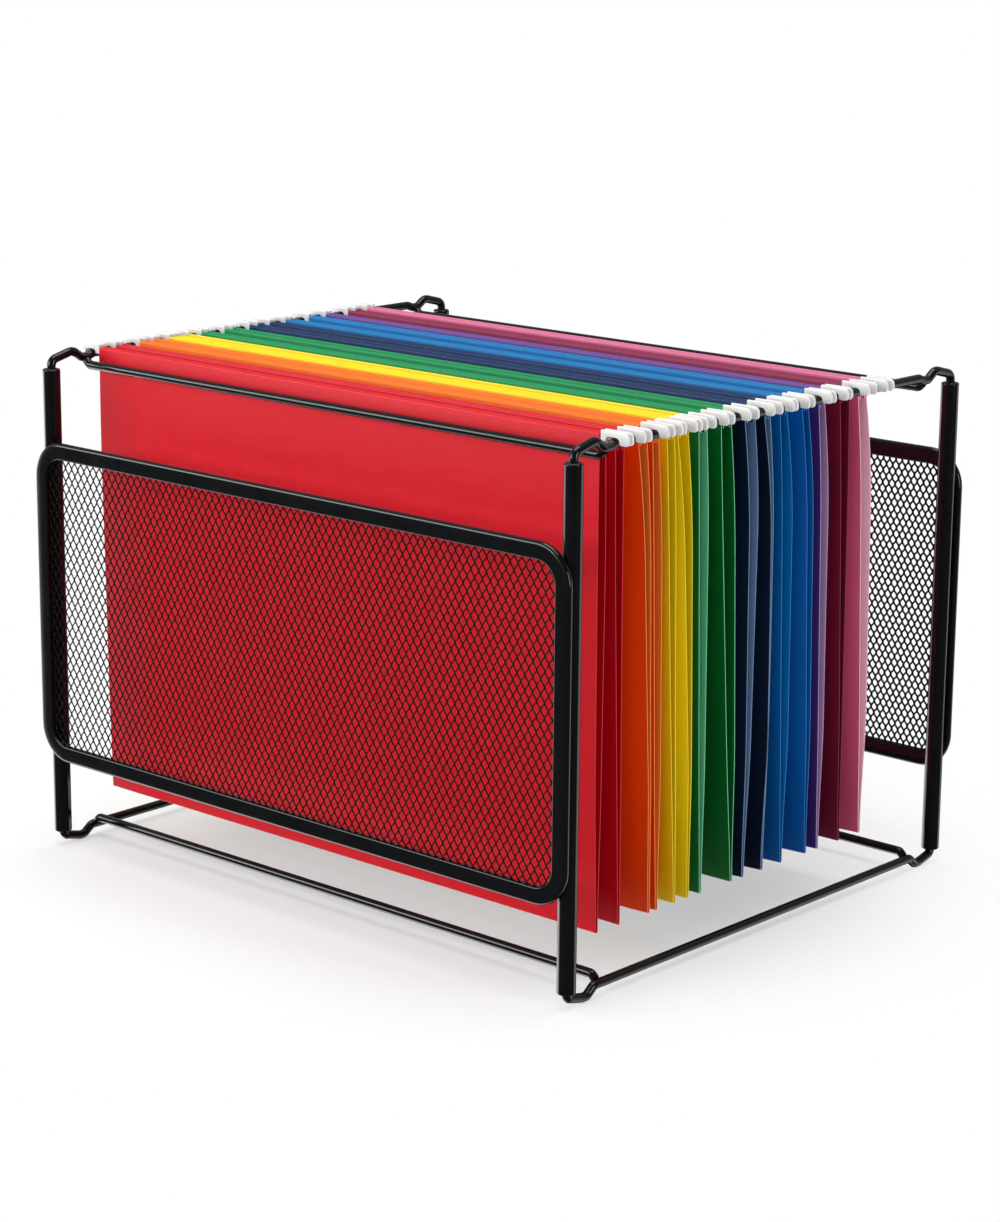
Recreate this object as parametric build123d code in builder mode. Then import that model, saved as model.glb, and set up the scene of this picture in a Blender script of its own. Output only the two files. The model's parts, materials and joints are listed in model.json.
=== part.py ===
"""Desktop rack for hanging files: a black wire and tube frame, two mesh panels, fifteen folders.

Millimetres. X runs along the folders, Y from the front panel to the rear one, Z up from the
surface that the feet stand on. The origin is in the middle of the footprint.
"""

from build123d import *
from math import cos, hypot, radians, sin
import os

# Frame, between centre lines: the rails are as far apart as letter-size folder hooks need
rail_spacing = 311.2
post_depth = 258.2
post_bottom = 6.4
post_top = 225.0
post_od = 8.0
post_bore = 6.0
post_end_round = 0.7
wire_d = 4.0

# Ends of the wires inside the tubes, and the plugs that hold them
wire_insert = 12.0
plug_length = 8.0
plug_bevel = 0.5

# Bends of a rail at each end: distance in from the post, height
rail_z = 229.6
rail_corner_z = 228.8
rail_hump = (12.6, 231.9)
rail_dip_z = 228.3
rail_dip_run = 3.6
rail_level_at = 25.0
rail_radii = (3.4, 5.0, 3.0, 3.0, 4.0)

# Bends of a base runner at each end, with a small flat under the foot
runner_z = 5.4
runner_corner_z = 4.2
foot_flat = 0.1
foot_run = (9.8, 12.6)
knee_at = 17.2
runner_radii = (2.8, 4.0, 3.0, 3.0)

# Ties run between the two rails, and between the two runners, with hooked ends
tie_inset = 19.7
tie_hook = 2.0
tie_bend = 2.2
hook_angle = radians(45)

# Mesh panels
panel_width = 320.6
panel_bottom = 43.2
panel_top = 193.1
rim_band = 7.6
rim_depth = 3.4
rim_corner = 17.0
rim_edge = 0.9
groove_depth = 3.0
groove_play = 0.1
mesh_thick = 0.8
gap_pitch = (14.6, 22.9)
strand = 2.2

# Folders: card sleeves over steel rods with coated hook ends
sleeve_width = 298.0
sleeve_top = 232.9
sleeve_bottom = 23.7
card = 0.45
hem_height = 9.0
hem_play = 0.05
hem_bend = 0.6
fold_width = 1.2
fold_bend = 0.5
rod_thick = 0.8
rod_height = 6.4
rod_top_play = 0.3
hook_thick = 1.2
hook_tip = 163.7
hook_start_play = 0.3
hook_top_above_notch = 2.45
notch_play = 0.05
notch_width = 6.8
notch_round = 1.6
inner_leg = 4.4
outer_leg = 5.3
hook_round = 2.2

# Name, middle of the two rods on the rails, distance between the rods, lean at the bottom fold
folders = [
    ("red_1", -104.0, 2.5, 1.1),
    ("red_2", -93.3, 3.8, 4.6),
    ("orange_1", -78.8, 3.9, 8.4),
    ("orange_2", -70.7, 2.4, 6.0),
    ("yellow_1", -61.0, 3.3, 8.5),
    ("yellow_2", -53.1, 5.4, 8.5),
    ("green_1", -40.2, 4.0, 5.1),
    ("green_2", -24.7, 5.4, 11.0),
    ("navy_1", -8.5, 5.4, 1.1),
    ("navy_2", 3.4, 2.4, 2.6),
    ("blue_1", 14.6, 3.6, 5.9),
    ("blue_2", 30.0, 2.9, 8.0),
    ("purple", 41.7, 2.9, 5.6),
    ("maroon", 58.3, 5.4, 6.1),
    ("pink", 71.4, 4.6, 7.4),
]

wire_r = wire_d / 2
rail_x = rail_spacing / 2
post_y = post_depth / 2
tie_y = post_y - tie_inset
sides = (("left", -rail_x), ("right", rail_x))
ends = (("front", -1), ("rear", 1))

os.makedirs("parts", exist_ok=True)


def write(part, name):
    part.label = name
    export_step(part, f"parts/{name}.step")


# Four posts: open tubes with softened ends
for end, direction in ends:
    for side, x in sides:
        with BuildPart() as post:
            with BuildSketch(Plane.XY.offset(post_bottom)):
                with Locations((x, direction * post_y)):
                    Circle(post_od / 2)
                    Circle(post_bore / 2, mode=Mode.SUBTRACT)
            extrude(amount=post_top - post_bottom)
            outer_edges = post.edges().filter_by(GeomType.CIRCLE).sort_by(SortBy.RADIUS)[-2:]
            fillet(outer_edges, post_end_round)
        write(post.part, f"post_{end}_{side}")

# Plugs that close each tube end round its wire
plug_seats = {
    "top_post_plugs": Plane.XY.offset(post_top - plug_length),
    "bottom_post_plugs": Plane(origin=(0, 0, post_bottom + plug_length), z_dir=(0, 0, -1)),
}
for name, seat in plug_seats.items():
    with BuildPart() as plugs:
        with BuildSketch(seat):
            with GridLocations(rail_spacing, post_depth, 2, 2):
                Circle(post_bore / 2)
                Circle(wire_r, mode=Mode.SUBTRACT)
        extrude(amount=plug_length)
        outward = Axis((0, 0, 0), seat.z_dir)
        open_faces = plugs.faces().sort_by(outward)[-4:]
        bevel_edges = open_faces.edges().filter_by(lambda edge: edge.radius > wire_r + plug_bevel)
        chamfer(bevel_edges, plug_bevel)
    write(plugs.part, name)


def both_ends(bends):
    """Carry the bends of the front end over to the rear end: (distance in from post, height)."""
    front = [(-post_y + run, z) for run, z in bends]
    rear = [(post_y - run, z) for run, z in reversed(bends)]
    return front + rear


# Hanging rails: up out of each post, over a hump, down to the tie and level under the folders
dip_start = tie_inset - rail_dip_run / 2
dip_end = tie_inset + rail_dip_run / 2
rail_bends = [
    (0, post_top - wire_insert),
    (0, rail_corner_z),
    rail_hump,
    (dip_start, rail_dip_z),
    (dip_end, rail_dip_z),
    (rail_level_at, rail_z),
]
for side, x in sides:
    with BuildPart() as rail:
        with BuildLine(Plane(origin=(x, 0, 0), x_dir=(0, 1, 0), z_dir=(1, 0, 0))) as route:
            FilletPolyline(both_ends(rail_bends), radius=rail_radii + rail_radii[::-1])
        with BuildSketch(Plane(origin=route.line @ 0, z_dir=route.line % 0)):
            Circle(wire_r)
        sweep()
    write(rail.part, f"{side}_rail")

# Base runners: down out of each post, over a foot that stands on the table, up to a level run
foot_z = wire_r - foot_flat
runner_bends = [
    (0, post_bottom + wire_insert),
    (0, runner_corner_z),
    (foot_run[0], foot_z),
    (foot_run[1], foot_z),
    (knee_at, runner_z),
]
for side, x in sides:
    with BuildPart() as runner:
        with BuildLine(Plane(origin=(x, 0, 0), x_dir=(0, 1, 0), z_dir=(1, 0, 0))) as route:
            FilletPolyline(both_ends(runner_bends), radius=runner_radii + runner_radii[::-1])
        with BuildSketch(Plane(origin=route.line @ 0, z_dir=route.line % 0)):
            Circle(wire_r)
        sweep()
        split(bisect_by=Plane.XY, keep=Keep.TOP)
    write(runner.part, f"{side}_base_runner")

# Ties: each end hooks at 45 degrees and butts on the wire that it is welded to
weld_x = rail_x - wire_r * cos(hook_angle)
weld_rise = wire_r * sin(hook_angle)
tie_heights = {
    "top_tie": (rail_dip_z - weld_rise, -tie_hook),
    "base_tie": (runner_z + weld_rise, tie_hook),
}
for kind, (weld_z, offset_z) in tie_heights.items():
    for end, direction in ends:
        with BuildPart() as tie:
            with BuildLine(Plane.XZ.offset(-direction * tie_y)) as route:
                FilletPolyline(
                    (-weld_x, weld_z),
                    (-weld_x + tie_hook, weld_z + offset_z),
                    (weld_x - tie_hook, weld_z + offset_z),
                    (weld_x, weld_z),
                    radius=tie_bend,
                )
            with BuildSketch(Plane(origin=route.line @ 0, z_dir=route.line % 0)):
                Circle(wire_r)
            sweep()
        write(tie.part, f"{end}_{kind}")

# Mesh panels: a folded steel rim with a groove, and an expanded metal sheet held in it
panel_height = panel_top - panel_bottom
panel_mid_z = (panel_top + panel_bottom) / 2
window_width = panel_width - 2 * rim_band
window_height = panel_height - 2 * rim_band
window_corner = rim_corner - rim_band
rim_mid_y = post_y + post_od / 2 + rim_depth / 2
diamond_scale = 1 - strand * hypot(*gap_pitch) / (gap_pitch[0] * gap_pitch[1])
gap_half_x = gap_pitch[0] / 2 * diamond_scale
gap_half_z = gap_pitch[1] / 2 * diamond_scale
gap_columns = int(window_width // gap_pitch[0]) + 1
gap_rows = int(window_height // gap_pitch[1]) + 1

for end, direction in ends:
    panel_plane = Plane(origin=(0, direction * rim_mid_y, panel_mid_z), x_dir=(1, 0, 0), z_dir=(0, -1, 0))

    with BuildPart() as rim:
        with BuildSketch(panel_plane):
            RectangleRounded(panel_width, panel_height, rim_corner)
            RectangleRounded(window_width, window_height, window_corner, mode=Mode.SUBTRACT)
        extrude(amount=rim_depth / 2, both=True)
        fillet(rim.faces().filter_by(Axis.Y).edges(), rim_edge)
        with BuildSketch(panel_plane):
            RectangleRounded(
                window_width + 2 * groove_depth,
                window_height + 2 * groove_depth,
                window_corner + groove_depth,
            )
        extrude(amount=(mesh_thick + groove_play) / 2, both=True, mode=Mode.SUBTRACT)
    write(rim.part, f"{end}_panel_rim")

    with BuildPart() as mesh:
        with BuildSketch(panel_plane):
            RectangleRounded(
                window_width + 2 * (groove_depth - groove_play),
                window_height + 2 * (groove_depth - groove_play),
                window_corner + groove_depth - groove_play,
            )
        extrude(amount=mesh_thick / 2, both=True)
        with BuildSketch(panel_plane):
            with GridLocations(*gap_pitch, gap_columns, gap_rows):
                Polygon((-gap_half_x, 0), (0, -gap_half_z), (gap_half_x, 0), (0, gap_half_z))
            with GridLocations(*gap_pitch, gap_columns - 1, gap_rows + 1):
                Polygon((-gap_half_x, 0), (0, -gap_half_z), (gap_half_x, 0), (0, gap_half_z))
            RectangleRounded(
                window_width - strand, window_height - strand, window_corner, mode=Mode.INTERSECT
            )
        extrude(amount=mesh_thick, both=True, mode=Mode.SUBTRACT)
    write(mesh.part, f"{end}_panel_mesh")

# Folders: one bent card each, hemmed over two rods that hang on the rails
hem_half = rod_thick / 2 + hem_play + card / 2
hem_top = sleeve_top - card / 2
hem_foot = sleeve_top - hem_height
fold_z = sleeve_bottom + card / 2
rod_top = sleeve_top - card - rod_top_play
hook_start = sleeve_width / 2 + hook_start_play
notch_top = rail_z + wire_r + notch_play
hook_top = notch_top + hook_top_above_notch

for number, (colour, rods_y, spread, lean) in enumerate(folders, start=1):
    name = f"folder_{number:02d}_{colour}"
    front_rod = rods_y - spread / 2
    back_rod = rods_y + spread / 2
    fold_front = rods_y + lean - fold_width / 2
    fold_back = rods_y + lean + fold_width / 2

    with BuildPart() as sleeve:
        with BuildSketch(Plane.YZ):
            with BuildLine():
                FilletPolyline(
                    (front_rod + hem_half, hem_foot),
                    (front_rod + hem_half, hem_top),
                    (front_rod - hem_half, hem_top),
                    (front_rod - hem_half, hem_foot),
                    (fold_front, fold_z),
                    (fold_back, fold_z),
                    (back_rod + hem_half, hem_foot),
                    (back_rod + hem_half, hem_top),
                    (back_rod - hem_half, hem_top),
                    (back_rod - hem_half, hem_foot),
                    radius=(hem_bend, hem_bend, 0, fold_bend, fold_bend, 0, hem_bend, hem_bend),
                )
            trace(line_width=card)
        extrude(amount=sleeve_width / 2, both=True)
    write(sleeve.part, f"{name}_sleeve")

    with BuildPart() as rods:
        for rod_y in (front_rod, back_rod):
            with BuildSketch(Plane.XZ.offset(-rod_y)):
                with Locations((0, rod_top - rod_height / 2)):
                    Rectangle(2 * hook_start + hook_start_play, rod_height)
            extrude(amount=rod_thick / 2, both=True)
            with BuildSketch(Plane.XZ.offset(-rod_y)) as hook:
                with BuildLine():
                    FilletPolyline(
                        (hook_start, hook_top - inner_leg),
                        (rail_x - notch_width / 2, hook_top - inner_leg),
                        (rail_x - notch_width / 2, notch_top),
                        (rail_x + notch_width / 2, notch_top),
                        (rail_x + notch_width / 2, hook_top - outer_leg),
                        (hook_tip, hook_top - outer_leg),
                        (hook_tip, hook_top),
                        (hook_start, hook_top),
                        radius=(0, 0, notch_round, notch_round, 0, hook_round, hook_round, 0),
                        close=True,
                    )
                make_face()
                mirror(about=Plane.YZ)
            extrude(amount=hook_thick / 2, both=True)
    write(rods.part, f"{name}_rods")
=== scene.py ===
"""Looks for the desktop rack of hanging files: enamelled wire, mesh panels, card folders."""

import bmesh
import bpy
import json
from math import atan2, ceil, cos, hypot, pi, radians, sin, tan
from mathutils import Matrix, Vector, noise

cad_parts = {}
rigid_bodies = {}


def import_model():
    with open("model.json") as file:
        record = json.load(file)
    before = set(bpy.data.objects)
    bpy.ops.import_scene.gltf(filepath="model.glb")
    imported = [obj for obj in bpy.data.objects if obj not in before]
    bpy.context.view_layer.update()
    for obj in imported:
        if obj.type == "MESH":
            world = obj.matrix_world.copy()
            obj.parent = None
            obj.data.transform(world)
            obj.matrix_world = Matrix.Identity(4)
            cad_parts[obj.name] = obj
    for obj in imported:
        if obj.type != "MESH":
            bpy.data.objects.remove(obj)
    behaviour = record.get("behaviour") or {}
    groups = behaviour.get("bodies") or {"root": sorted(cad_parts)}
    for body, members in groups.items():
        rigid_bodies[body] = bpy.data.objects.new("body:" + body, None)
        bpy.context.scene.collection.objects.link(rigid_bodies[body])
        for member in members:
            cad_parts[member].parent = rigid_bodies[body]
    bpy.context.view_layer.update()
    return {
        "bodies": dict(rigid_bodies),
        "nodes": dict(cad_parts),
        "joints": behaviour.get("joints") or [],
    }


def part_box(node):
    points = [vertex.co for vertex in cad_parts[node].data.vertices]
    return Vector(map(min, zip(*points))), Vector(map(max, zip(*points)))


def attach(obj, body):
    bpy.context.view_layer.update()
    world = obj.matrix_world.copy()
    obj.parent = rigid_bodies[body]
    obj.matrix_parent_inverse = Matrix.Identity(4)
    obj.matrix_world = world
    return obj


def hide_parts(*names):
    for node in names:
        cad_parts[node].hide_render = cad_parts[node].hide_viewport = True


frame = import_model()
card_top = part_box("folder_01_red_1_sleeve")[1].z

MM = 0.001

# Cards: section with its hems and fold, and how finely it is divided
CARD = 0.45 * MM
HEM = 9.0 * MM
HEM_HALF = 0.675 * MM
HEM_BEND = 0.6 * MM
HEM_FOOT_BEND = 4.0 * MM
FOLD_WIDTH = 1.1 * MM
FOLD_BEND = 0.5 * MM
CARD_SPACING = 9.0 * MM
CARD_COLUMNS = 36
OUTSIDE, EDGE, INSIDE = 0, 1, 2

# Slight bends of the cards: a broad bow, a bulge of the pocket and ends that stand back
BOW = 0.8 * MM
BOW_WAVES = (0.9, 0.8)
BOW_STEP = 7.3
BULGE = 1.5 * MM
BULGE_SHARE = 0.4
END_REACH = 45.0 * MM
HANG_RANGE = (0.045, 0.3)
CLOSING_START = 0.7
CLOSING_SPAN = 0.3

# How far the ends of each folder's front and back flap are set back from the rods
END_SETS = {
    1: (-0.7 * MM, 1.0 * MM),
    2: (-0.2 * MM, 0.0 * MM),
    3: (3.2 * MM, 2.5 * MM),
    4: (0.3 * MM, 2.3 * MM),
    5: (0.7 * MM, 1.3 * MM),
    6: (3.6 * MM, 3.0 * MM),
    7: (0.3 * MM, 1.9 * MM),
    8: (-0.3 * MM, 2.4 * MM),
    9: (4.3 * MM, 4.6 * MM),
    10: (5.6 * MM, 3.9 * MM),
    11: (1.9 * MM, 5.0 * MM),
    12: (3.7 * MM, 4.6 * MM),
    13: (2.5 * MM, 4.3 * MM),
    14: (1.2 * MM, 0.8 * MM),
    15: (2.8 * MM, 5.4 * MM),
}

# Colours of the cards, linear: the flaps in the darker colour they show in shade. Then painted light:
# the lighter colours the flaps turn to at the top, for the light and sheen on the tops, and paler
# inside colours for the folders whose insides catch light at their ends
CARD_COLOURS = {
    "red": (0.66, 0.002, 0.012),
    "orange": (0.95, 0.065, 0.001),
    "yellow": (0.98, 0.70, 0.004),
    "green": (0.002, 0.165, 0.024),
    "navy": (0.0025, 0.010, 0.034),
    "blue": (0.001, 0.125, 0.46),
    "purple": (0.055, 0.024, 0.19),
    "maroon": (0.22, 0.008, 0.035),
    "pink": (0.80, 0.11, 0.24),
}
# Painted light and sheen: the lit colours the cards turn to at their tops
LIT_TOP_COLOURS = {
    "red": (0.66, 0.004, 0.016),
    "orange": (0.86, 0.17, 0.001),
    "yellow": (0.90, 0.67, 0.003),
    "green": (0.004, 0.275, 0.085),
    "navy": (0.003, 0.028, 0.11),
    "blue": (0.001, 0.17, 0.45),
    "purple": (0.14, 0.065, 0.28),
    "maroon": (0.27, 0.018, 0.075),
    "pink": (0.66, 0.16, 0.30),
}
# Painted light: lighter, paler colours for the insides that catch light near the flaps' ends
LIT_INSIDE_COLOURS = {
    "orange": (1.0, 0.24, 0.03),
    "green": (0.17, 0.62, 0.34),
    "navy": (0.15, 0.25, 0.44),
    "blue": (0.001, 0.17, 0.50),
    "purple": (0.47, 0.29, 0.54),
    "pink": (1.0, 0.55, 0.66),
}
# Folders whose insides get the painted lit colour
PAINTED_LIT_INSIDES = (3, 4, 7, 9, 10, 11, 13, 15)
# Painted light: depths below the top over which a card's colour turns to its lit top colour
LIT_TOP_FADE = (8.0 * MM, 2.5 * MM)

# Rods and their coated hooks
ROD_THICK = 0.8 * MM
ROD_HEIGHT = 6.4 * MM
ROD_EDGE = 0.2 * MM
ROD_PLAY = 0.3 * MM
ROD_REACH = 1.0 * MM
HOOK_THICK = 1.2 * MM
HOOK_PLAY = 0.3 * MM
HOOK_EDGE = 0.32 * MM
HOOK_CORNER = radians(60)
HOOK_RADII = [radius * MM for radius in (0.5, 0.4, 1.5, 1.9, 0.7, 1.6, 2.3, 0.4)]
NOTCH_WIDTH = 6.8 * MM
BAR_HEIGHT = 2.45 * MM
INNER_LEG = 4.4 * MM
OUTER_LEG = 5.3 * MM

# Panels: a folded rim with a slot that holds a diamond mesh
RIM_BAND = 7.6 * MM
RIM_CORNER = 17.0 * MM
RIM_HALF_DEPTH = 1.7 * MM
RIM_ARC_STEPS = 14
LIP_ROUND = 0.3 * MM
BACK_ROUND = 0.8 * MM
OUTER_ROUND = 1.5 * MM
SLOT_HALF = 0.45 * MM
SLOT_DEPTH = 3.0 * MM
MESH_PITCH = {"front": (4.2 * MM, 6.4 * MM), "rear": (3.45 * MM, 5.8 * MM)}
MESH_STRAND = {"front": 0.88 * MM, "rear": 1.2 * MM}
MESH_THICK = 0.7 * MM
MESH_BOND = 0.55 * MM
GAP_WIDENING = MESH_BOND * 0.25
STRAND_EDGE_SHARE = 0.22
MESH_IN_SLOT_SHARE = 0.7

# Camera: fitted to the photograph's post ends and rails
CAMERA_PLACE = (0.92905, -1.03442, 0.46077)
CAMERA_TURN = radians(41.86)
CAMERA_TILT = radians(13.93)
CAMERA_ROLL = radians(-0.5)
CAMERA_LENS = 92.17
CAMERA_SENSOR = 36

# Lamps: place, size and power, all aimed at the middle of the rack
LAMP_TARGET = (0, 0, 0.12)
LAMPS = {
    "overhead": ((0, 0, 1.9), (1.4, 1.4), 22),
    "key": ((-1.15, -1.75, 0.75), (1.6, 0.9), 30),
    "side": ((1.9, 0.05, 0.5), (0.4, 1.0), 11),
}

# World: light that is least on one side, and below the horizon dark with two bright strips,
# each with its angle, its spread and its strength
FILL_RANGE = (0.03, 0.75)
DARK_SIDE = radians(-12)
GLOSS_DIM = 0.55
LOW_FILL = 0.05
STRIPS = (
    (radians(-176), radians(34), 3.2),
    (radians(68), radians(26), 1.2),
)
STRIP_CORE = 0.4
HORIZON = (-0.08, 0.0)

# Floor: a pale disc, partly clear near the rack and fully clear away from it
FLOOR_RADIUS = 1.6
FLOOR_SIDES = 96
FLOOR_MIDDLE = (-0.018, -0.018, 0)
FLOOR_FADE = (0.14, 0.3)
FLOOR_WHITE = 0.44
FLOOR_COLOUR = (0.885, 0.925, 0.935, 1)
FLOOR_ROUGH = 0.8
FLOOR_SPECULAR = 0.1

# Two shades of each plain surface
ENAMEL = ((0.0035, 0.0037, 0.0042), (0.006, 0.0063, 0.007))
PLUG = ((0.008, 0.008, 0.009), (0.014, 0.014, 0.015))
COAT = ((0.80, 0.79, 0.77), (0.86, 0.85, 0.84))
STEEL = ((0.45, 0.45, 0.46), (0.6, 0.6, 0.6))

# Grain of the materials: the span of a noise that is used, and the card's fibres
NOISE_SPAN = (0.3, 0.7)
FIBRE_SHADES = (0.93, 1.06)
FIBRE_BUMP = 0.03 * MM
CARD_ROUGH = (0.34, 0.43)
CARD_SPECULAR = 0.25
EDGE_PALER = 0.02
EDGE_SHADE = 0.85
EDGE_ROUGH = 0.85


# Camera and studio
def make_camera():
    data = bpy.data.cameras.new("camera")
    data.lens = CAMERA_LENS
    data.sensor_width = CAMERA_SENSOR
    camera = bpy.data.objects.new("camera", data)
    bpy.context.scene.collection.objects.link(camera)
    forward = Vector(
        (
            -sin(CAMERA_TURN) * cos(CAMERA_TILT),
            cos(CAMERA_TURN) * cos(CAMERA_TILT),
            -sin(CAMERA_TILT),
        )
    )
    level_right = Vector((cos(CAMERA_TURN), sin(CAMERA_TURN), 0))
    level_down = forward.cross(level_right)
    right = level_right * cos(CAMERA_ROLL) + level_down * sin(CAMERA_ROLL)
    up = right.cross(forward)
    turn = Matrix((right, up, -forward)).transposed().to_4x4()
    camera.matrix_world = Matrix.Translation(CAMERA_PLACE) @ turn
    bpy.context.scene.camera = camera
    bpy.context.scene.view_settings.view_transform = "Standard"


def map_value(nodes, links, value, span, levels, interpolation="SMOOTHSTEP"):
    ramp = nodes.new("ShaderNodeMapRange")
    ramp.interpolation_type = interpolation
    ramp.inputs["From Min"].default_value = span[0]
    ramp.inputs["From Max"].default_value = span[1]
    ramp.inputs["To Min"].default_value = levels[0]
    ramp.inputs["To Max"].default_value = levels[1]
    links.new(value, ramp.inputs["Value"])
    return ramp.outputs[0]


def facing(nodes, links, heading, angle):
    """How nearly a level heading points along an angle about Z, as a cosine."""
    dot = nodes.new("ShaderNodeVectorMath")
    dot.operation = "DOT_PRODUCT"
    dot.inputs[1].default_value = (cos(angle), sin(angle), 0)
    links.new(heading, dot.inputs[0])
    return dot.outputs["Value"]


def combine(nodes, links, operation, first, second):
    """One step of arithmetic on two values, each a number or another node's output."""
    join = nodes.new("ShaderNodeMath")
    join.operation = operation
    for socket, value in zip(join.inputs, (first, second)):
        if isinstance(value, float):
            socket.default_value = value
        else:
            links.new(value, socket)
    return join.outputs[0]


def level_heading(nodes, links, place):
    """Unit vector of a direction without its height."""
    level = nodes.new("ShaderNodeVectorMath")
    level.operation = "MULTIPLY"
    level.inputs[1].default_value = (1, 1, 0)
    unit = nodes.new("ShaderNodeVectorMath")
    unit.operation = "NORMALIZE"
    links.new(place, level.inputs[0])
    links.new(level.outputs[0], unit.inputs[0])
    return unit.outputs[0]


def studio_strength(nodes, links):
    place = nodes.new("ShaderNodeTexCoord").outputs["Generated"]
    heading = level_heading(nodes, links, place)

    dark = facing(nodes, links, heading, DARK_SIDE)
    fill = map_value(nodes, links, dark, (1.0, 0.0), FILL_RANGE)
    glossy = nodes.new("ShaderNodeLightPath").outputs["Is Glossy Ray"]
    dim = combine(nodes, links, "MULTIPLY", GLOSS_DIM, glossy)
    fill = combine(nodes, links, "MULTIPLY", fill, combine(nodes, links, "SUBTRACT", 1.0, dim))

    low = LOW_FILL
    for angle, spread, strength in STRIPS:
        span = (cos(spread), cos(spread * STRIP_CORE))
        toward = facing(nodes, links, heading, angle)
        strip = map_value(nodes, links, toward, span, (0.0, strength))
        low = combine(nodes, links, "ADD", low, strip)

    split = nodes.new("ShaderNodeSeparateXYZ")
    links.new(place, split.inputs[0])
    upper = map_value(nodes, links, split.outputs["Z"], HORIZON, (0.0, 1.0))
    lower = combine(nodes, links, "SUBTRACT", 1.0, upper)
    fill = combine(nodes, links, "MULTIPLY", fill, upper)
    low = combine(nodes, links, "MULTIPLY", low, lower)
    return combine(nodes, links, "ADD", fill, low)


def make_world():
    """Plain white to the camera, and the studio's light to everything else."""
    world = bpy.data.worlds.new("studio")
    bpy.context.scene.world = world
    world.use_nodes = True
    nodes = world.node_tree.nodes
    links = world.node_tree.links
    nodes.clear()
    white = nodes.new("ShaderNodeBackground")
    white.inputs["Color"].default_value = (1, 1, 1, 1)
    fill = nodes.new("ShaderNodeBackground")
    fill.inputs["Color"].default_value = (1, 1, 1, 1)
    links.new(studio_strength(nodes, links), fill.inputs["Strength"])
    path = nodes.new("ShaderNodeLightPath")
    mix = nodes.new("ShaderNodeMixShader")
    out = nodes.new("ShaderNodeOutputWorld")
    links.new(path.outputs["Is Camera Ray"], mix.inputs["Fac"])
    links.new(fill.outputs[0], mix.inputs[1])
    links.new(white.outputs[0], mix.inputs[2])
    links.new(mix.outputs[0], out.inputs["Surface"])


def make_lamp(name, place, size, power):
    data = bpy.data.lights.new(name, "AREA")
    data.shape = "RECTANGLE"
    data.size, data.size_y = size
    data.energy = power
    lamp = bpy.data.objects.new(name, data)
    bpy.context.scene.collection.objects.link(lamp)
    lamp.location = place
    aim = Vector(LAMP_TARGET) - Vector(place)
    lamp.rotation_mode = "QUATERNION"
    lamp.rotation_quaternion = aim.to_track_quat("-Z", "Y")
    lamp.visible_camera = False


def make_floor():
    """Pale disc that keeps the shadows and fades into the white around it."""
    angles = [2 * pi * step / FLOOR_SIDES for step in range(FLOOR_SIDES)]
    verts = [(FLOOR_RADIUS * cos(angle), FLOOR_RADIUS * sin(angle), 0) for angle in angles]
    mesh = bpy.data.meshes.new("floor")
    mesh.from_pydata(verts, [], [range(FLOOR_SIDES)])
    floor = bpy.data.objects.new("floor", mesh)
    bpy.context.scene.collection.objects.link(floor)

    material, nodes, links, shader = new_material("floor")
    shader.inputs["Roughness"].default_value = FLOOR_ROUGH
    shader.inputs["Specular IOR Level"].default_value = FLOOR_SPECULAR
    shader.inputs["Base Color"].default_value = FLOOR_COLOUR
    place = nodes.new("ShaderNodeTexCoord")
    reach = nodes.new("ShaderNodeVectorMath")
    reach.operation = "DISTANCE"
    reach.inputs[1].default_value = FLOOR_MIDDLE
    links.new(place.outputs["Object"], reach.inputs[0])
    fade = map_value(nodes, links, reach.outputs["Value"], FLOOR_FADE, (FLOOR_WHITE, 1.0))
    path = nodes.new("ShaderNodeLightPath").outputs
    share = combine(nodes, links, "MULTIPLY", fade, path["Is Camera Ray"])
    share = combine(nodes, links, "MAXIMUM", share, path["Is Glossy Ray"])
    share = combine(nodes, links, "MAXIMUM", share, path["Is Transmission Ray"])
    clear = nodes.new("ShaderNodeBsdfTransparent")
    mix = nodes.new("ShaderNodeMixShader")
    links.new(share, mix.inputs["Fac"])
    links.new(shader.outputs[0], mix.inputs[1])
    links.new(clear.outputs[0], mix.inputs[2])
    links.new(mix.outputs[0], nodes["Material Output"].inputs["Surface"])
    mesh.materials.append(material)


# Materials
def new_material(name):
    material = bpy.data.materials.new(name)
    material.use_nodes = True
    nodes = material.node_tree.nodes
    return material, nodes, material.node_tree.links, nodes["Principled BSDF"]


def add_noise(nodes, links, scale, detail=2.0, stretch=(1, 1, 1)):
    place = nodes.new("ShaderNodeTexCoord")
    mapping = nodes.new("ShaderNodeMapping")
    mapping.inputs["Scale"].default_value = stretch
    grain = nodes.new("ShaderNodeTexNoise")
    grain.inputs["Scale"].default_value = scale
    grain.inputs["Detail"].default_value = detail
    links.new(place.outputs["Object"], mapping.inputs["Vector"])
    links.new(mapping.outputs[0], grain.inputs["Vector"])
    return grain.outputs["Fac"]


def add_bump(nodes, links, shader, height, depth):
    bump = nodes.new("ShaderNodeBump")
    bump.inputs["Strength"].default_value = 1.0
    bump.inputs["Distance"].default_value = depth
    links.new(height, bump.inputs["Height"])
    links.new(bump.outputs[0], shader.inputs["Normal"])


def vary_rough(nodes, links, grain, levels, shader):
    rough = map_value(nodes, links, grain, NOISE_SPAN, levels, "LINEAR")
    links.new(rough, shader.inputs["Roughness"])


def mix_colour(nodes, links, fac, shades, target):
    mix = nodes.new("ShaderNodeMix")
    mix.data_type = "RGBA"
    for socket, shade in zip("AB", shades):
        mix.inputs[socket].default_value = (*shade, 1)
    links.new(fac, mix.inputs["Factor"])
    links.new(mix.outputs["Result"], target)


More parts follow.
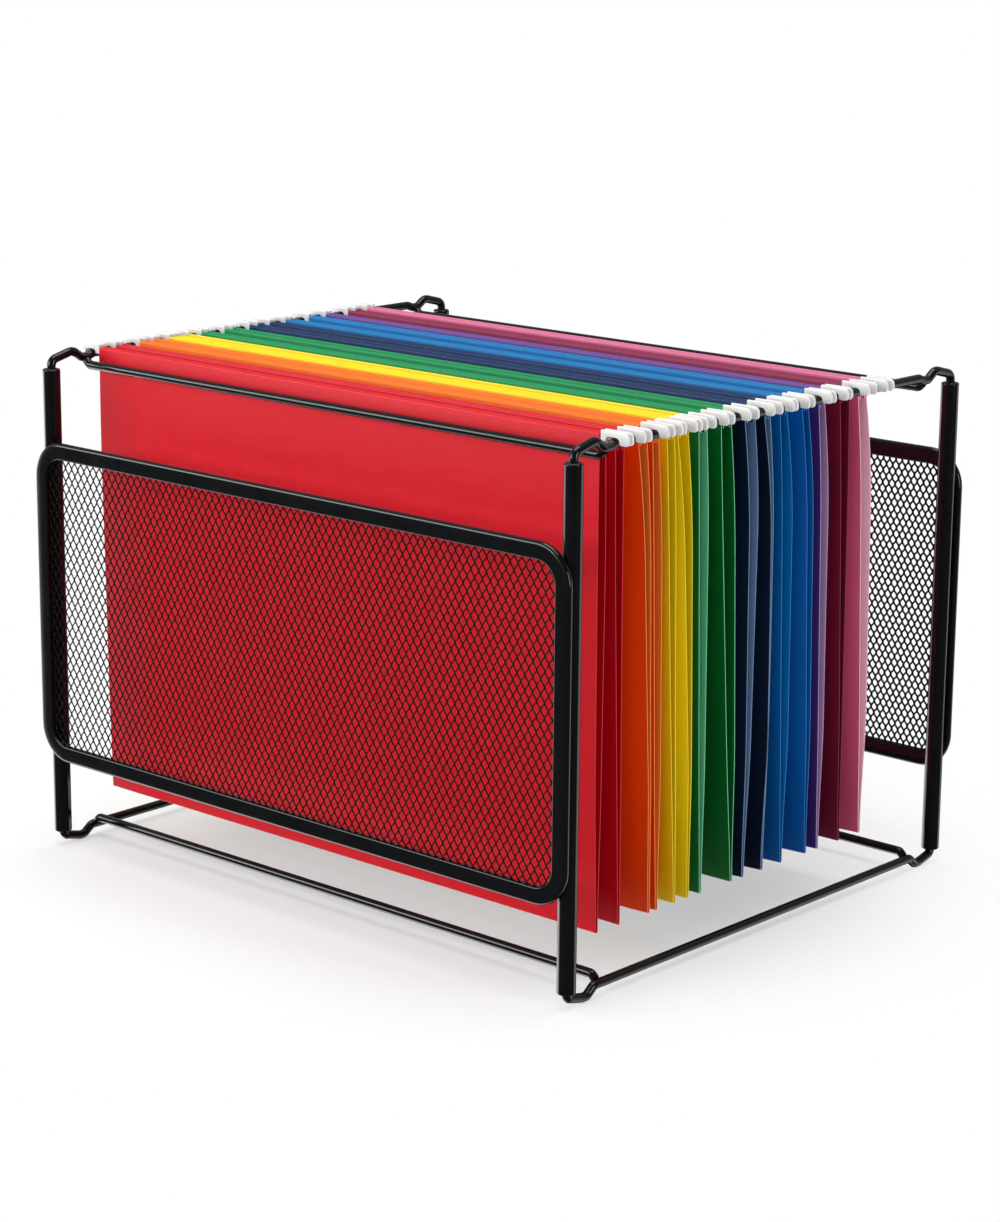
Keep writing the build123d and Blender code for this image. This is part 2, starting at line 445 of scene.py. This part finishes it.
def surface(name, scale, shades, rough, bump=None, specular=0.5, metallic=0.0, stretch=(1, 1, 1)):
    """Plain surface: one noise varies its colour and gloss, and bump's, if any, its height."""
    material, nodes, links, shader = new_material(name)
    broad = add_noise(nodes, links, scale, stretch=stretch)
    mix_colour(nodes, links, broad, shades, shader.inputs["Base Color"])
    vary_rough(nodes, links, broad, rough, shader)
    shader.inputs["Specular IOR Level"].default_value = specular
    shader.inputs["Metallic"].default_value = metallic
    if bump:
        fine_scale, depth = bump
        add_bump(nodes, links, shader, add_noise(nodes, links, fine_scale), depth)
    return material


def scaled(colour, factor):
    return tuple(min(1.0, value * factor) for value in colour)


def toward_white(colour, share):
    return tuple(value + (1 - value) * share for value in colour)


def card_face(name, colour, lit_top_colour):
    """Card with a grain of fibres; near the top its colour turns to a lighter colour, painted light
    and sheen.
    """
    material, nodes, links, shader = new_material(name)
    fibres = add_noise(nodes, links, scale=700, detail=5, stretch=(0.35, 1, 1))
    fade = nodes.new("ShaderNodeMix")
    fade.data_type = "RGBA"
    for socket, tint in (("A", colour), ("B", lit_top_colour)):
        shades = [scaled(tint, factor) for factor in FIBRE_SHADES]
        mix_colour(nodes, links, fibres, shades, fade.inputs[socket])
    place = nodes.new("ShaderNodeTexCoord")
    split = nodes.new("ShaderNodeSeparateXYZ")
    links.new(place.outputs["Object"], split.inputs[0])
    # Painted light: the lighter top colour takes over towards the top
    span = [card_top - drop for drop in LIT_TOP_FADE]
    lit_top = map_value(nodes, links, split.outputs["Z"], span, (0.0, 1.0))
    links.new(lit_top, fade.inputs["Factor"])
    links.new(fade.outputs["Result"], shader.inputs["Base Color"])
    vary_rough(nodes, links, fibres, CARD_ROUGH, shader)
    shader.inputs["Specular IOR Level"].default_value = CARD_SPECULAR
    add_bump(nodes, links, shader, fibres, FIBRE_BUMP)
    return material


def card_edge(colour_name):
    """Cut edge of a card, rough and a little paler."""
    # Where a card colour has a painted lit inside colour, its cut edge takes that lighter colour too
    core = LIT_INSIDE_COLOURS.get(colour_name, CARD_COLOURS[colour_name])
    colour = toward_white(core, EDGE_PALER)
    material, nodes, links, shader = new_material(f"card_edge_{colour_name}")
    fibres = add_noise(nodes, links, scale=2500)
    shades = (scaled(colour, EDGE_SHADE), colour)
    mix_colour(nodes, links, fibres, shades, shader.inputs["Base Color"])
    shader.inputs["Roughness"].default_value = EDGE_ROUGH
    return material


# Geometry helpers
def new_piece(name, verts, faces, materials, body):
    mesh = bpy.data.meshes.new(name)
    mesh.from_pydata(verts, [], faces)
    for material in materials:
        mesh.materials.append(material)
    mesh.polygons.foreach_set("use_smooth", [True] * len(mesh.polygons))
    piece = bpy.data.objects.new(name, mesh)
    bpy.context.scene.collection.objects.link(piece)
    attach(piece, body)
    return piece


def box_span(low, high):
    """Middle of a box, and half its width and height."""
    return (low + high) / 2, (high.x - low.x) / 2, (high.z - low.z) / 2


def round_corners(points, radii, steps, closed=False):
    """Replace each corner of a 2D polyline by an arc of its radius."""
    count = len(points)
    result = []
    for index in range(count):
        here = Vector(points[index])
        radius = radii[index]
        is_end = not closed and index in (0, count - 1)
        if is_end or radius == 0:
            result.append(here)
            continue
        before = (Vector(points[index - 1]) - here).normalized()
        after = (Vector(points[(index + 1) % count]) - here).normalized()
        half = before.angle(after) / 2
        reach = radius / tan(half)
        centre = here + (before + after).normalized() * (radius / sin(half))
        first = here + before * reach - centre
        last = here + after * reach - centre
        start = atan2(first.y, first.x)
        sweep = atan2(last.y, last.x) - start
        sweep = (sweep + pi) % (2 * pi) - pi
        for step in range(steps + 1):
            angle = start + sweep * step / steps
            result.append(centre + Vector((cos(angle), sin(angle))) * radius)
    return result


# Mesh panels
def trim_planes(half_width, half_height, corner):
    """Planes that bound a rounded rectangle, as points and outward normals in X and Z."""
    planes = []
    for quarter in range(4):
        for turn in (0.0, 22.5, 45.0, 67.5):
            angle = radians(quarter * 90 + turn)
            normal = Vector((cos(angle), sin(angle)))
            if turn == 0:
                reach = half_width if quarter % 2 == 0 else half_height
                planes.append((normal * reach, normal))
                continue
            sign_x = 1 if normal.x > 0 else -1
            sign_z = 1 if normal.y > 0 else -1
            centre = Vector((sign_x * (half_width - corner), sign_z * (half_height - corner)))
            planes.append((centre + normal * corner, normal))
    return planes


def gap_outline(end, step_x, step_z):
    """Corners of one gap of the mesh, a diamond whose two sides are cut short by the bonds."""
    length = hypot(step_x, step_z)
    inset = MESH_STRAND[end] / 2
    x = step_x - inset * length / step_z + GAP_WIDENING
    z = step_z - inset * length / step_x
    return (
        (0, z), (x, MESH_BOND), (x, -MESH_BOND),
        (0, -z), (-x, -MESH_BOND), (-x, MESH_BOND),
    )


def strand_faces(ridge, rim):
    """Faces that slope from the crossings round a gap to the gap's rim."""
    top, right, bottom, left = ridge
    return (
        (top, rim[0], rim[1], right),
        (right, rim[1], rim[2]),
        (right, rim[2], rim[3], bottom),
        (bottom, rim[3], rim[4], left),
        (left, rim[4], rim[5]),
        (left, rim[5], rim[0], top),
    )


def diamond_lattice(end, middle, half_width, half_height):
    """Flattened strands round diamond gaps, with a short bond at each crossing."""
    pitch_x, pitch_z = MESH_PITCH[end]
    step_x, step_z = pitch_x / 2, pitch_z / 2
    columns = int(half_width / step_x) + 2
    rows = int(half_height / step_z) + 2
    edge_y = MESH_THICK * STRAND_EDGE_SHARE
    ridge_y = MESH_THICK / 2
    gap = gap_outline(end, step_x, step_z)
    verts = []
    faces = []
    found = {}

    def vertex(key, x, y, z):
        if key not in found:
            found[key] = len(verts)
            verts.append((middle.x + x, middle.y + y, middle.z + z))
        return found[key]

    def add_cell(column, row):
        rims = []
        for side in (-1, 1):
            ridge = []
            for across, up in ((0, 1), (1, 0), (0, -1), (-1, 0)):
                key = (side, column + across, row + up)
                ridge.append(vertex(key, key[1] * step_x, side * ridge_y, key[2] * step_z))
            rim = []
            for number, (x, z) in enumerate(gap):
                key = (side, column, row, number)
                rim.append(vertex(key, column * step_x + x, side * edge_y, row * step_z + z))
            loops = strand_faces(ridge, rim)
            faces.extend(loop if side > 0 else loop[::-1] for loop in loops)
            rims.append(rim)
        front, back = rims
        for number in range(len(gap)):
            after = (number + 1) % len(gap)
            faces.append((front[number], front[after], back[after], back[number]))

    for column in range(-columns, columns + 1):
        for row in range(-rows, rows + 1):
            if (column + row) % 2 == 0:
                add_cell(column, row)
    return verts, faces


def expanded_metal(end, material):
    """Lay the lattice over the panel and trim it to a rounded rectangle inside the rim's slot."""
    low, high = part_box(f"{end}_panel_mesh")
    middle, half_width, half_height = box_span(low, high)
    verts, faces = diamond_lattice(end, middle, half_width, half_height)
    piece = new_piece(f"{end}_expanded_metal", verts, faces, [material], "frame")
    shape = bmesh.new()
    shape.from_mesh(piece.data)
    corner = RIM_CORNER - RIM_BAND + SLOT_DEPTH * MESH_IN_SLOT_SHARE
    for point, normal in trim_planes(half_width, half_height, corner):
        cut = bmesh.ops.bisect_plane(
            shape,
            geom=shape.verts[:] + shape.edges[:] + shape.faces[:],
            plane_co=(middle.x + point.x, middle.y, middle.z + point.y),
            plane_no=(normal.x, 0, normal.y),
            clear_outer=True,
        )
        edges = [item for item in cut["geom_cut"] if isinstance(item, bmesh.types.BMEdge)]
        bmesh.ops.holes_fill(shape, edges=edges, sides=0)
    bmesh.ops.recalc_face_normals(shape, faces=shape.faces[:])
    shape.to_mesh(piece.data)
    shape.free()
    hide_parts(f"{end}_panel_mesh")


def rim_profile():
    """Section of the folded rim: half-round outer edge and two lips that close on the sheet."""
    half = RIM_BAND / 2
    slot_end = -half + SLOT_DEPTH
    points = [
        (slot_end, SLOT_HALF), (-half, SLOT_HALF), (-half, RIM_HALF_DEPTH), (half, RIM_HALF_DEPTH),
        (half, -RIM_HALF_DEPTH), (-half, -RIM_HALF_DEPTH), (-half, -SLOT_HALF), (slot_end, -SLOT_HALF),
    ]
    radii = (0, LIP_ROUND, BACK_ROUND, OUTER_ROUND, OUTER_ROUND, BACK_ROUND, LIP_ROUND, 0)
    return round_corners(points, radii, steps=5, closed=True)


def panel_rim(end, material):
    """Sweep the rim's section round a rounded rectangle."""
    low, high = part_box(f"{end}_panel_rim")
    middle, half_width, half_height = box_span(low, high)
    profile = rim_profile()
    stations = []
    for quarter in range(4):
        sign_x = 1 if quarter in (0, 3) else -1
        sign_z = 1 if quarter in (0, 1) else -1
        centre = Vector((sign_x * (half_width - RIM_CORNER), sign_z * (half_height - RIM_CORNER)))
        for step in range(RIM_ARC_STEPS + 1):
            angle = radians(90 * (quarter + step / RIM_ARC_STEPS))
            stations.append((centre, Vector((cos(angle), sin(angle)))))
    verts = []
    for centre, normal in stations:
        for u, v in profile:
            spot = centre + normal * (RIM_CORNER - RIM_BAND / 2 + u)
            verts.append((middle.x + spot.x, middle.y + v, middle.z + spot.y))
    faces = []
    ring = len(profile)
    for index in range(len(stations)):
        here = index * ring
        there = (index + 1) % len(stations) * ring
        for k in range(ring):
            after = (k + 1) % ring
            faces.append((here + k, here + after, there + after, there + k))
    piece = new_piece(f"{end}_rim", verts, faces, [material], "frame")
    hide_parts(f"{end}_panel_rim")


# Folders
def folder_sizes(body):
    """Where a folder's rods, hems and fold are, from its boxes and its pull-out direction."""
    rods_low, rods_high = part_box(f"{body}_rods")
    low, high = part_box(f"{body}_sleeve")
    joint = next(j for j in frame["joints"] if j["child"] == body)
    axis = Vector(joint["axis"])
    lean = -axis.y / axis.z * (high.z - low.z)
    front_rod = rods_low.y + HOOK_THICK / 2
    back_rod = rods_high.y - HOOK_THICK / 2
    return {
        "front_rod": front_rod,
        "back_rod": back_rod,
        "fold": (front_rod + back_rod) / 2 + lean,
        "half_width": high.x,
        "top": high.z,
        "bottom": low.z,
        "hook_tip": rods_high.x,
        "hook_top": rods_high.z,
    }


def sleeve_section(sizes):
    """Middle line of the card across the folder, in Y and Z, from hem to fold to hem."""
    hem_top = sizes["top"] - CARD / 2
    hem_foot = sizes["top"] - HEM
    fold_z = sizes["bottom"] + CARD / 2
    front, back, fold = sizes["front_rod"], sizes["back_rod"], sizes["fold"]
    half = FOLD_WIDTH / 2
    points = [
        (front + HEM_HALF, hem_foot), (front + HEM_HALF, hem_top),
        (front - HEM_HALF, hem_top), (front - HEM_HALF, hem_foot),
        (fold - half, fold_z), (fold + half, fold_z),
        (back + HEM_HALF, hem_foot), (back + HEM_HALF, hem_top),
        (back - HEM_HALF, hem_top), (back - HEM_HALF, hem_foot),
    ]
    half_radii = (0, HEM_BEND, HEM_BEND, HEM_FOOT_BEND, FOLD_BEND)
    rounded = round_corners(points, half_radii + half_radii[::-1], steps=5)
    line = []
    for index, point in enumerate(rounded[:-1]):
        after = rounded[index + 1]
        parts = max(1, ceil((after - point).length / CARD_SPACING))
        line += [point.lerp(after, part / parts) for part in range(parts)]
    line.append(rounded[-1])
    return line


def line_normals(line):
    normals = []
    for index in range(len(line)):
        before = line[max(index - 1, 0)]
        after = line[min(index + 1, len(line) - 1)]
        along = (after - before).normalized()
        normals.append(Vector((along.y, -along.x)))
    return normals


def clamp(value):
    return min(1.0, max(0.0, value))


def ease(value):
    value = clamp(value)
    return value * value * (3 - 2 * value)


def card_bend(sizes, number):
    """A function that gives the Y of each point of a slightly bent card.

    The card bows, its pocket swells, and the ends of its flaps stand back. At the fold both
    ends close to half of their mean.
    """
    half_width = sizes["half_width"]
    height = sizes["top"] - sizes["bottom"]
    middle_line = (sizes["front_rod"] + sizes["back_rod"]) / 2
    bulge = min(BULGE, BULGE_SHARE * (sizes["back_rod"] - sizes["front_rod"]))
    sets = END_SETS[number]
    hang_start, hang_end = HANG_RANGE

    def bend(x, y, z):
        down = (sizes["top"] - z) / height
        free = sin(pi * clamp(down))
        spot = Vector((x / half_width * BOW_WAVES[0], down * BOW_WAVES[1], number * BOW_STEP))
        bow = noise.noise(spot) * BOW
        is_back = y > middle_line + (sizes["fold"] - middle_line) * down
        end = max(0.0, 1 - (half_width - abs(x)) / END_REACH) ** 3
        hang = clamp((down - hang_start) / (hang_end - hang_start))
        closing = ease((down - CLOSING_START) / CLOSING_SPAN)
        set_back = sets[is_back] * (1 - closing) + sum(sets) / 4 * closing
        swell = (bulge if is_back else -bulge) * (1 - end)
        return y + free * (bow + swell) + set_back * end * hang * (2 - hang)

    return bend


def card_shell(count):
    """Faces of a card whose section has count points a side, and the kind of each face."""
    ring = 2 * count
    last = count - 1
    faces = []
    kinds = []
    for column in range(CARD_COLUMNS):
        a = column * ring
        b = a + ring
        for k in range(last):
            faces.append((a + k, a + k + 1, b + k + 1, b + k))
            faces.append((a + count + k, b + count + k, b + count + k + 1, a + count + k + 1))
            kinds += [INSIDE, OUTSIDE]
        faces.append((a, b, b + count, a + count))
        faces.append((a + last, a + last + count, b + last + count, b + last))
        kinds += [EDGE, EDGE]
    for column in (0, CARD_COLUMNS):
        a = column * ring
        for k in range(last):
            loop = (a + k, a + count + k, a + count + k + 1, a + k + 1)
            faces.append(loop if column == 0 else loop[::-1])
            kinds.append(EDGE)
    return faces, kinds


def sharpen_edges(mesh):
    """Turn the faces outward, and keep the edges sharp where one kind of face meets another."""
    shape = bmesh.new()
    shape.from_mesh(mesh)
    bmesh.ops.recalc_face_normals(shape, faces=shape.faces[:])
    for edge in shape.edges:
        edge.smooth = len({face.material_index for face in edge.link_faces}) == 1
    shape.to_mesh(mesh)
    shape.free()


def card_sleeve(body, colour_name, number):
    sizes = folder_sizes(body)
    line = sleeve_section(sizes)
    normals = line_normals(line)
    bend = card_bend(sizes, number)
    half_width = sizes["half_width"]
    verts = []
    for column in range(CARD_COLUMNS + 1):
        x = -half_width + 2 * half_width * column / CARD_COLUMNS
        for side in (-1, 1):
            for point, normal in zip(line, normals):
                spot = point + normal * side * CARD / 2
                verts.append((x, bend(x, spot.x, spot.y), spot.y))
    faces, kinds = card_shell(len(line))
    outside = outsides[colour_name]
    # Some folders' insides get the painted lit colour, the others keep the outside colour
    inside = lit_insides[colour_name] if number in PAINTED_LIT_INSIDES else outside
    materials = [outside, cut_edges[colour_name], inside]
    piece = new_piece(f"{body}_card", verts, faces, materials, body)
    piece.data.polygons.foreach_set("material_index", kinds)
    piece.data.polygons.foreach_set("use_smooth", [kind != EDGE for kind in kinds])
    sharpen_edges(piece.data)
    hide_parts(f"{body}_sleeve")


def hook_outline(sizes, rail_x):
    """Side view of one coated hook end, in X and Z: a short leg, a notch over the rail, a long leg."""
    start = sizes["half_width"] + HOOK_PLAY
    tip = sizes["hook_tip"]
    top = sizes["hook_top"]
    notch = (rail_x - NOTCH_WIDTH / 2, rail_x + NOTCH_WIDTH / 2)
    notch_top = top - BAR_HEIGHT
    points = [
        (start, top - INNER_LEG), (notch[0], top - INNER_LEG),
        (notch[0], notch_top), (notch[1], notch_top),
        (notch[1], top - OUTER_LEG), (tip, top - OUTER_LEG),
        (tip, top), (start, top),
    ]
    return round_corners(points, HOOK_RADII, steps=6, closed=True)


def add_hook(shape, outline, rod_y, sign):
    ring = [shape.verts.new((sign * x, rod_y - HOOK_THICK / 2, z)) for x, z in outline]
    face = shape.faces.new(ring if sign > 0 else ring[::-1])
    grown = bmesh.ops.extrude_face_region(shape, geom=[face])
    moved = [item for item in grown["geom"] if isinstance(item, bmesh.types.BMVert)]
    bmesh.ops.translate(shape, verts=moved, vec=(0, HOOK_THICK, 0))


def add_strip(shape, sizes, rod_y):
    """Flat steel strip of a rod, inside its hem."""
    top = sizes["top"] - CARD - ROD_PLAY
    verts = bmesh.ops.create_cube(shape, size=1)["verts"]
    for vert in verts:
        vert.co.x *= 2 * sizes["half_width"] + 2 * ROD_REACH
        vert.co.y = rod_y + vert.co.y * ROD_THICK
        vert.co.z = top - ROD_HEIGHT / 2 + vert.co.z * ROD_HEIGHT
    for face in {face for vert in verts for face in vert.link_faces}:
        face.material_index = 1
    edges = list({edge for vert in verts for edge in vert.link_edges})
    bmesh.ops.bevel(shape, geom=edges, offset=ROD_EDGE, segments=2, profile=0.5, affect="EDGES")


def hooked_rods(body, materials, rail_x):
    """Two flat steel rods with coated hook ends, edges rounded all round."""
    sizes = folder_sizes(body)
    outline = hook_outline(sizes, rail_x)
    rods = (sizes["front_rod"], sizes["back_rod"])
    shape = bmesh.new()
    for rod_y in rods:
        for sign in (-1, 1):
            add_hook(shape, outline, rod_y, sign)
    for face in shape.faces:
        face.smooth = True
    corners = [edge for edge in shape.edges if edge.calc_face_angle(0) > HOOK_CORNER]
    bmesh.ops.bevel(shape, geom=corners, offset=HOOK_EDGE, segments=3, profile=0.5, affect="EDGES")
    for rod_y in rods:
        add_strip(shape, sizes, rod_y)
    bmesh.ops.recalc_face_normals(shape, faces=shape.faces[:])
    mesh = bpy.data.meshes.new(f"{body}_hooks")
    shape.to_mesh(mesh)
    shape.free()
    for material in materials:
        mesh.materials.append(material)
    piece = bpy.data.objects.new(f"{body}_hooks", mesh)
    bpy.context.scene.collection.objects.link(piece)
    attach(piece, body)
    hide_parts(f"{body}_rods")


# Studio
make_camera()
make_world()
for name, (place, size, power) in LAMPS.items():
    make_lamp(name, place, size, power)
make_floor()

# Materials of every piece
gloss_black = surface(
    "enamel_gloss", 60, ENAMEL, rough=(0.1, 0.15), bump=(1100, 0.006 * MM), specular=0.38
)
satin_black = surface(
    "enamel_satin", 60, ENAMEL, rough=(0.4, 0.5), bump=(1100, 0.01 * MM), specular=0.08
)
plug_black = surface("plug_plastic", 1800, PLUG, rough=(0.45, 0.6), bump=(1800, 0.02 * MM))
coat = surface("hook_coat", 90, COAT, rough=(0.3, 0.42), bump=(1500, 0.02 * MM))
steel = surface("rod_steel", 900, STEEL, rough=(0.25, 0.4), metallic=1.0, stretch=(0.05, 1, 1))
outsides = {
    name: card_face(f"card_{name}", colour, LIT_TOP_COLOURS[name])
    for name, colour in CARD_COLOURS.items()
}
# Painted light: lighter copies of the cards for the insides that catch light
lit_insides = {
    name: card_face(f"card_lit_inside_{name}", colour, colour)
    for name, colour in LIT_INSIDE_COLOURS.items()
}
cut_edges = {name: card_edge(name) for name in CARD_COLOURS}

# Frame: the wires, tubes and plugs keep their form, the panels get finer ones
for node, piece in frame["nodes"].items():
    if node.startswith("folder_"):
        continue
    piece.data.materials.clear()
    piece.data.materials.append(plug_black if node.endswith("plugs") else gloss_black)
for end in ("front", "rear"):
    expanded_metal(end, satin_black)
    panel_rim(end, gloss_black)

# Folders
rail_low, rail_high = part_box("right_rail")
rail_middle_x = (rail_low.x + rail_high.x) / 2
folder_bodies = sorted(body for body in frame["bodies"] if body.startswith("folder_"))
for number, body in enumerate(folder_bodies, start=1):
    card_sleeve(body, body.split("_")[2], number)
    hooked_rods(body, (coat, steel), rail_middle_x)
